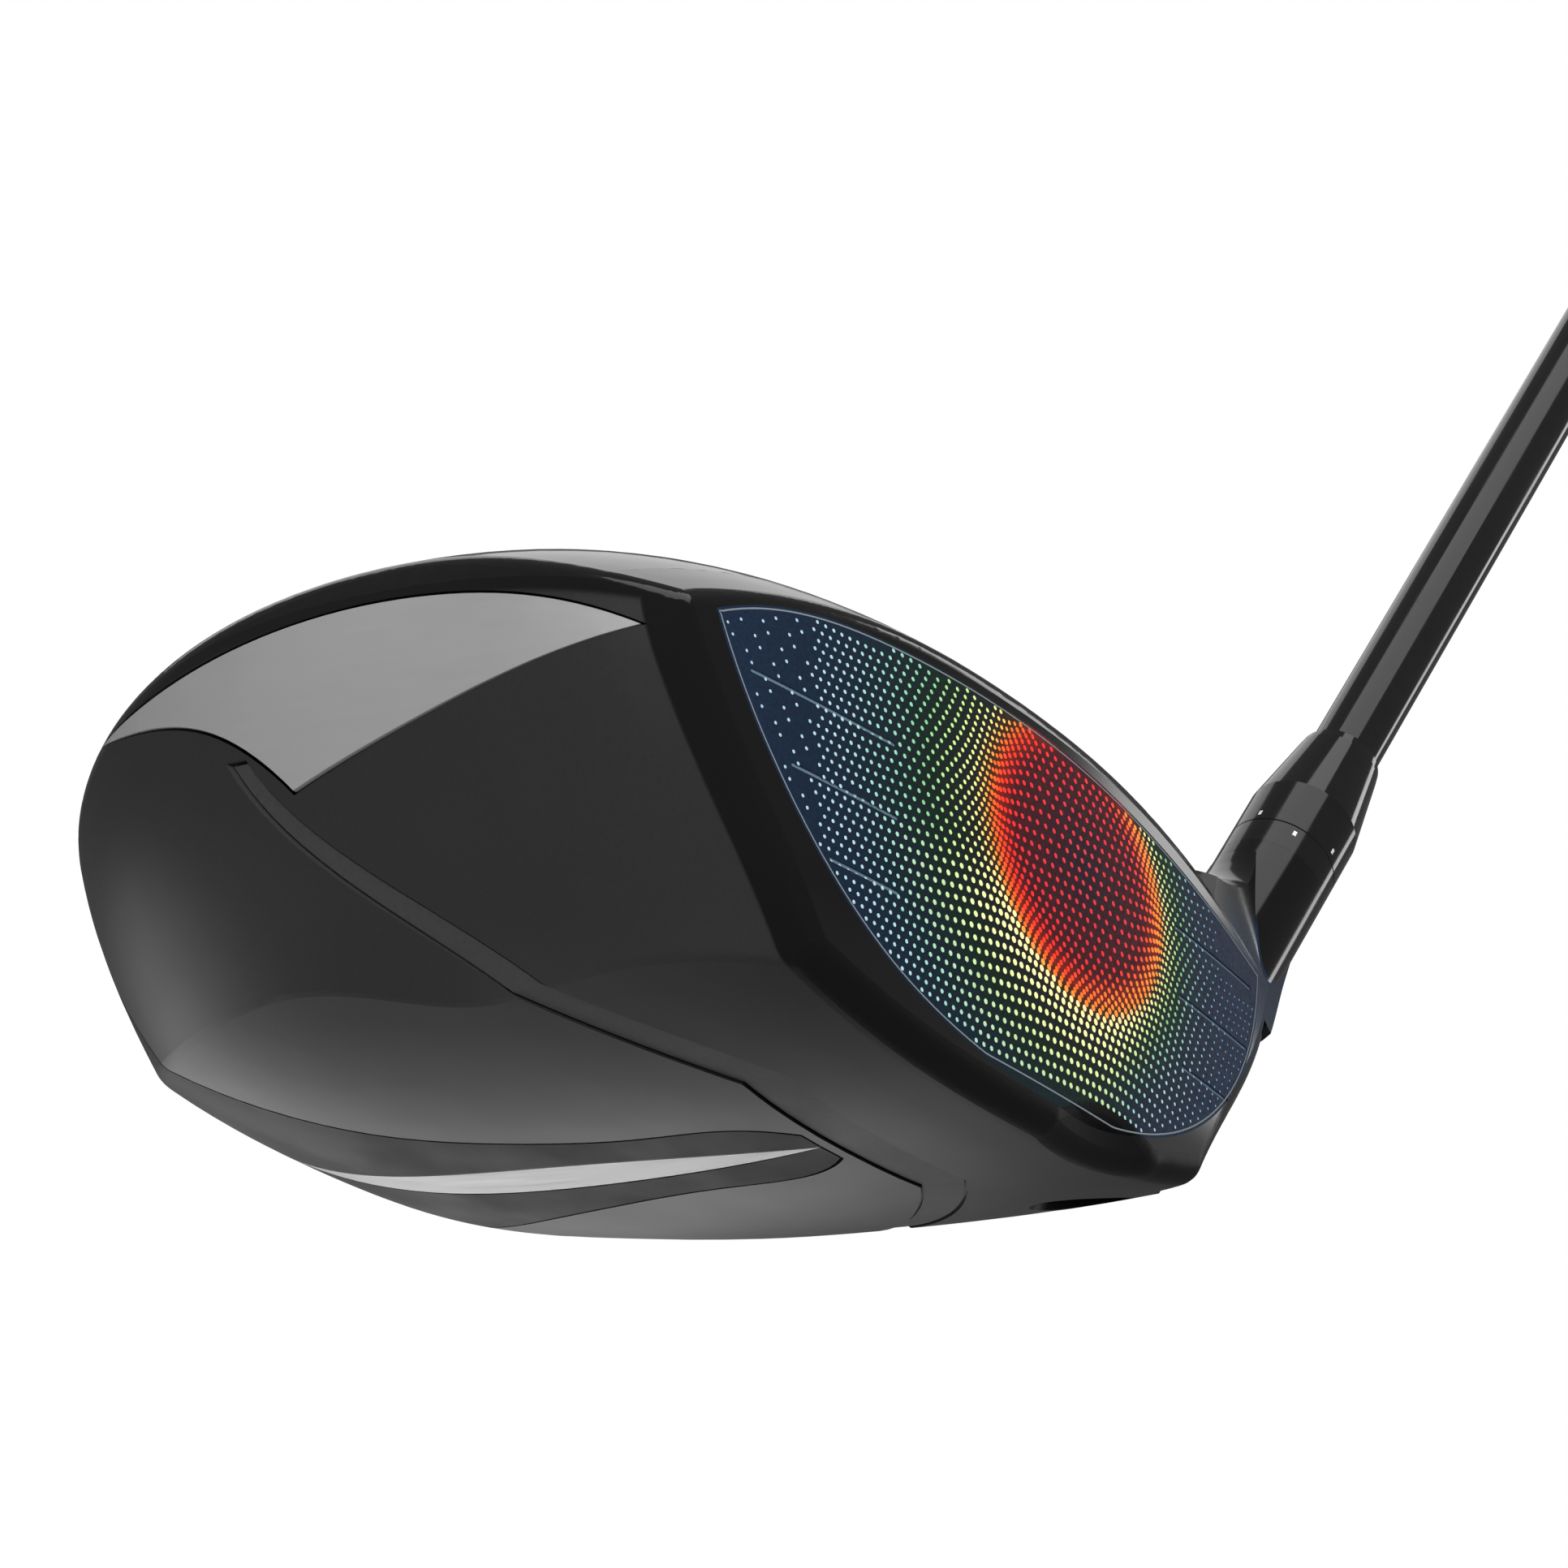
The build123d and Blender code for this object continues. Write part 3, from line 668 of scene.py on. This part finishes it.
def face_pinstripe():
    """Thin pale line just inside the face plate's edge."""
    points = even_points(plate_outline(), PINSTRIPE_STEP)
    middle = Vector((0.0, FACE_MID_HEIGHT))
    bm = bmesh.new()
    rails = []
    for i, here in enumerate(points):
        along = points[(i + 1) % len(points)] - points[i - 1]
        inward = Vector((-along.y, along.x)).normalized()
        if inward.dot(middle - here) < 0:
            inward = -inward
        pair = []
        for depth in (PINSTRIPE_INSET, PINSTRIPE_INSET + PINSTRIPE_WIDTH):
            x, z = here + inward * depth
            point, normal = on_face(x, max(z, PRINT_BOTTOM + depth - PINSTRIPE_INSET))
            pair.append(bm.verts.new(point + normal * DOT_LIFT))
        rails.append(pair)
    for (a, b), (c, d) in zip(rails, rails[1:] + rails[:1]):
        face = bm.faces.new((a, b, d, c))
        face.normal_update()
        if face.normal.y > 0:
            face.normal_flip()
    paint = matte("pinstripe", PINSTRIPE, 0.55, speck=0.1)
    return finish_mesh("face_pinstripe", bm, paint, "head")


def even_points(outline, step):
    """Points at an even step round a closed outline."""
    corners = [Vector(p) for p in outline]
    points = []
    for a, b in zip(corners, corners[1:] + corners[:1]):
        count = max(1, round((b - a).length / step))
        points += [a.lerp(b, i / count) for i in range(count)]
    return points


# --------------------------------------------------------------------------- grip

GRIP_RINGS = 620
GRIP_SEGMENTS = 144
GRIP_BORE = 7.6 * MM
MOUTH_RINGS = (9 * MM, 12 * MM, 15 * MM)     # ring grooves, from the grip's mouth
CAP_RINGS = (6 * MM, 9 * MM)                 # and from its cap end
RING_HALF, RING_DEPTH = 0.55 * MM, 0.45 * MM
HELIX_HALF, HELIX_DEPTH = 0.75 * MM, 0.38 * MM
HELIX_PITCH = 9.0 * MM                       # along the grip, from one crossed groove to the next
HELIX_STARTS = 10
PATTERN_MOUTH = (20 * MM, 24 * MM)           # where the crossed grooves fade in
PATTERN_CAP = (14 * MM, 18 * MM)
END_STEP = 0.02 * MM                         # rays keep this far from a node's ends


def shaft_frame():
    """Matrix that takes local Z to the shaft axis, with its origin at the shaft's foot."""
    side = Vector((0.0, 1.0, 0.0))
    other = SHAFT_AXIS.cross(side)
    basis = Matrix((side, other, SHAFT_AXIS)).transposed().to_4x4()
    return Matrix.Translation(SHAFT_FOOT) @ basis


def station_range(node):
    """Where a node begins and ends along the shaft axis."""
    stations = [(v.co - SHAFT_FOOT).dot(SHAFT_AXIS) for v in frame["nodes"][node].data.vertices]
    return min(stations), max(stations)


def node_profile(node, low, high, count):
    """Outer radius of a node at evenly spaced stations, by rays towards the axis."""
    tree = surface_tree(node)
    outside = Vector((0.0, 50.0, 0.0)) * MM
    radii = []
    for i in range(count):
        station = low + (high - low) * i / (count - 1)
        centre = SHAFT_FOOT + SHAFT_AXIS * min(max(station, low + END_STEP), high - END_STEP)
        spot = tree.ray_cast(centre + outside, -outside)[0]
        radii.append((spot - centre).length)
    return radii


def groove(distance, half_width):
    """Rounded groove section: 1 in its middle, 0 beyond its half width."""
    share = abs(distance) / half_width
    return 0.5 + 0.5 * math.cos(math.pi * share) if share < 1 else 0.0


def grip_relief(station, angle, length):
    """Depth of the grip's moulded pattern at a station along it and an angle round it."""
    from_cap = length - station
    depths = [groove(station - ring, RING_HALF) * RING_DEPTH for ring in MOUTH_RINGS]
    depths += [groove(from_cap - ring, RING_HALF) * RING_DEPTH for ring in CAP_RINGS]
    fade = smooth_step(station, *PATTERN_MOUTH) * smooth_step(from_cap, *PATTERN_CAP)
    turns = angle / (2 * math.pi) * HELIX_STARTS
    for hand in (1, -1):
        phase = (station / HELIX_PITCH + hand * turns) % 1.0
        to_groove = min(phase, 1 - phase) * HELIX_PITCH
        depths.append(fade * groove(to_groove, HELIX_HALF) * HELIX_DEPTH)
    return max(depths)


def grip_ring(bm, station, radius_at):
    """Vertices round the shaft axis at a station, at a radius that depends on the angle."""
    place = shaft_frame()
    ring = []
    for j in range(GRIP_SEGMENTS):
        angle = 2 * math.pi * j / GRIP_SEGMENTS
        radius = radius_at(angle)
        spot = Vector((radius * math.cos(angle), radius * math.sin(angle), station))
        ring.append(bm.verts.new(place @ spot))
    return ring


def grip_sleeve():
    """Rubber grip with ring grooves at its ends and crossed helical grooves between them."""
    low, high = station_range("grip")
    length = high - low
    bm = bmesh.new()
    rows = []
    for i, outer in enumerate(node_profile("grip", low, high, GRIP_RINGS)):
        along = length * i / (GRIP_RINGS - 1)
        rows.append(grip_ring(bm, low + along, lambda angle: outer - grip_relief(along, angle, length)))
    rows += [grip_ring(bm, station, lambda angle: GRIP_BORE) for station in (high, low)]
    skin(bm, rows + [rows[0]])
    piece = finish_mesh("grip_sleeve", bm, rubber("grip_rubber"), "shaft_assembly")
    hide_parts("grip")
    return piece


def skin(bm, rows):
    """Quads between successive closed rings of vertices."""
    for first, second in zip(rows, rows[1:]):
        for j in range(len(first)):
            k = (j + 1) % len(first)
            bm.faces.new((first[j], first[k], second[k], second[j]))


# --------------------------------------------------------------- hosel tick paint

TICK_HALF = 0.25 * MM
TICK_RADIUS = 6.8 * MM - 0.06 * MM       # just inside the hosel's outer radius
TICK_COUNT = 4
TICK_COLUMNS = (-0.92, -0.3, 0.3, 0.92)  # across a tick, in half widths
TICK_INSET = 0.05 * MM
RING_TICKS = (66.8 * MM, 67.7 * MM)      # where the engraved ticks begin and end along the shaft axis
SLEEVE_TICKS = (69.2 * MM, 70.1 * MM)


def tick_fill(name, body, ends, start):
    """White paint in the engraved ticks round the hosel, the first at the start angle in degrees."""
    low, high = ends[0] + TICK_INSET, ends[1] - TICK_INSET
    bm = bmesh.new()
    place = shaft_frame()
    for i in range(TICK_COUNT):
        middle = math.radians(start + i * 360 / TICK_COUNT)
        columns = []
        for share in TICK_COLUMNS:
            angle = middle + TICK_HALF / TICK_RADIUS * share
            foot = Vector((TICK_RADIUS * math.cos(angle), TICK_RADIUS * math.sin(angle), 0))
            columns.append([bm.verts.new(place @ (foot + Vector((0, 0, s)))) for s in (low, high)])
        for (a, b), (c, d) in zip(columns, columns[1:]):
            bm.faces.new((a, c, d, b))
    white = matte(name + "_paint", TICK_WHITE, 0.5, speck=0.08, relief=0.1)
    return finish_mesh(name, bm, white, body)


# ------------------------------------------------------------------------- assembly

# How much each axis squeezes a metal's grain.
BRUSHED = (1.0, 0.04, 1.0)
TURNED = (1.0, 1.0, 6.0)


def paint_nodes():
    """Give every CAD node its procedural material."""
    black = gloss_black("hosel_black")
    steel = metal("fastener_steel", grey(0.50), 0.30, TURNED)
    finishes = {
        "sole_body": body_paint(),
        "crown_shell": gloss_black("crown_gloss", 0.0035, 0.08),
        "face_plate": face_paint(),
        "toe_badge": metal("badge_silver", (0.33, 0.33, 0.335), 0.46, BRUSHED, 0.35, 0.05),
        "tail_panel": matte("panel_black", (0.010, 0.010, 0.0105), 0.62),
        "sole_stripe": metal("stripe_silver", (0.50, 0.50, 0.505), 0.42, BRUSHED, 0.4, 0.05),
        "channel_fill": matte("channel_grey", (0.034, 0.034, 0.035), 0.5),
        "damping_pad": matte("hot_melt", (0.45, 0.34, 0.16), 0.35),
        "rear_weight": metal("weight_dark", (0.16, 0.16, 0.165), 0.34, (0.05, 1.0, 1.0)),
        "weight_seal": rubber("seal_rubber"),
        "hosel_ring": black,
        "hosel_sleeve": black,
        "thread_insert": steel,
        "ferrule": gloss_black("ferrule_gloss", 0.004, 0.06),
        "hosel_screw": metal("screw_steel", (0.16, 0.16, 0.165), 0.32, TURNED),
        "screw_washer": steel,
        "shaft": gloss_black("shaft_gloss", 0.005, 0.08),
        "tip_plug": metal("tip_brass", (0.62, 0.43, 0.16), 0.35),
        "grip_tape": matte("tape", (0.60, 0.56, 0.46), 0.8),
        "grip_cap": rubber("cap_rubber"),
    }
    for node, material in finishes.items():
        piece = frame["nodes"][node]
        if not piece.material_slots:
            piece.data.materials.append(material)
        for entry in piece.material_slots:
            entry.material = material


# ------------------------------------------------------------------------- studio

HEAD_MIDDLE = Vector((0.0, 50.0, 30.0)) * MM
CAMERA_AT = Vector((-411.69, -301.62, -160.66)) * MM
CAMERA_AIM = Vector((2.43, 37.56, 46.55)) * MM
CAMERA_ROLL = 7.61
CAMERA_LENS = 119.18
FLOOR_HALF = 60.0
FLOOR_GAP = 0.1 * MM
SKY_SENSED = 0.10

# Each lamp's name, place, size and power, and whether the club mirrors it.
LAMPS = [
    ("key", (-1.2, -0.5, 0.5), (1.0, 1.0), 22, False),
    ("front_fill", (-0.3, -1.5, 0.3), (1.2, 0.8), 18, False),
    ("low_fill", (-0.6, 0.3, -1.1), (1.2, 1.2), 12, False),
    ("overhead", (-0.2, -0.35, 1.3), (1.2, 0.9), 3.2, True),
    ("rear_top", (0.52, 0.82, 0.98), (1.1, 0.6), 1.2, True),
    ("rear_low", (0.5, 1.1, -0.42), (1.4, 0.6), 4.8, True),
    ("heel_fill", (1.3, 0.9, 0.7), (0.9, 0.9), 14, False),
    ("heel_strip", (1.4, -0.3, 0.78), (0.22, 1.4), 1.8, True),
]


def aimed(at, target):
    """Matrix that puts a camera or lamp at a place and aims it at a target."""
    facing = (target - at).to_track_quat("-Z", "Y").to_matrix().to_4x4()
    return Matrix.Translation(at) @ facing


def camera():
    """Long lens, low on the toe side in front of the face, rolled so that the club leans back."""
    data = bpy.data.cameras.new("camera")
    data.lens = CAMERA_LENS
    data.clip_start = 0.01
    eye = bpy.data.objects.new("camera", data)
    bpy.context.scene.collection.objects.link(eye)
    roll = Matrix.Rotation(math.radians(CAMERA_ROLL), 4, "Z")
    eye.matrix_world = aimed(CAMERA_AT, CAMERA_AIM) @ roll
    bpy.context.scene.camera = eye


def softbox(name, at, size, power, mirrored):
    """Rectangular area light aimed at the head; one that isn't mirrored only adds even light."""
    data = bpy.data.lights.new(name, "AREA")
    data.shape = "RECTANGLE"
    data.size, data.size_y = size
    data.energy = power
    light = bpy.data.objects.new(name, data)
    bpy.context.scene.collection.objects.link(light)
    light.matrix_world = aimed(Vector(at), HEAD_MIDDLE)
    light.visible_camera = False
    light.visible_glossy = mirrored


def world():
    """White backdrop to the camera, and a dim even sky to everything else."""
    sky = bpy.data.worlds.new("studio")
    bpy.context.scene.world = sky
    sky.use_nodes = True
    nodes, links = sky.node_tree.nodes, sky.node_tree.links
    nodes.clear()
    seen, sensed = nodes.new("ShaderNodeBackground"), nodes.new("ShaderNodeBackground")
    for background in (seen, sensed):
        background.inputs["Color"].default_value = with_alpha(grey(1.0))
    sensed.inputs["Strength"].default_value = SKY_SENSED
    choose = nodes.new("ShaderNodeMixShader")
    links.new(nodes.new("ShaderNodeLightPath").outputs["Is Camera Ray"], choose.inputs[0])
    links.new(sensed.outputs[0], choose.inputs[1])
    links.new(seen.outputs[0], choose.inputs[2])
    links.new(choose.outputs[0], nodes.new("ShaderNodeOutputWorld").inputs[0])


def floor():
    """Large pale floor under the sole."""
    bm = bmesh.new()
    level = CAD_BOX[0].z - FLOOR_GAP
    corners = ((-1, -1), (1, -1), (1, 1), (-1, 1))
    bm.faces.new([bm.verts.new((x * FLOOR_HALF, y * FLOOR_HALF, level)) for x, y in corners])
    mesh = bpy.data.meshes.new("floor")
    bm.to_mesh(mesh)
    bm.free()
    plane = bpy.data.objects.new("floor", mesh)
    bpy.context.scene.collection.objects.link(plane)
    mesh.materials.append(floor_paint())
    plane.visible_shadow = False
    plane.visible_glossy = False
    plane.visible_diffuse = False


def studio():
    """Floor, backdrop, lamps and camera."""
    bpy.context.scene.view_settings.view_transform = "Standard"
    world()
    floor()
    for lamp in LAMPS:
        softbox(*lamp)
    camera()


paint_nodes()
face_dots()
face_pinstripe()
grip_sleeve()
tick_fill("ring_ticks", "ring", RING_TICKS, 45)
tick_fill("sleeve_ticks", "shaft_assembly", SLEEVE_TICKS, 0)
studio()
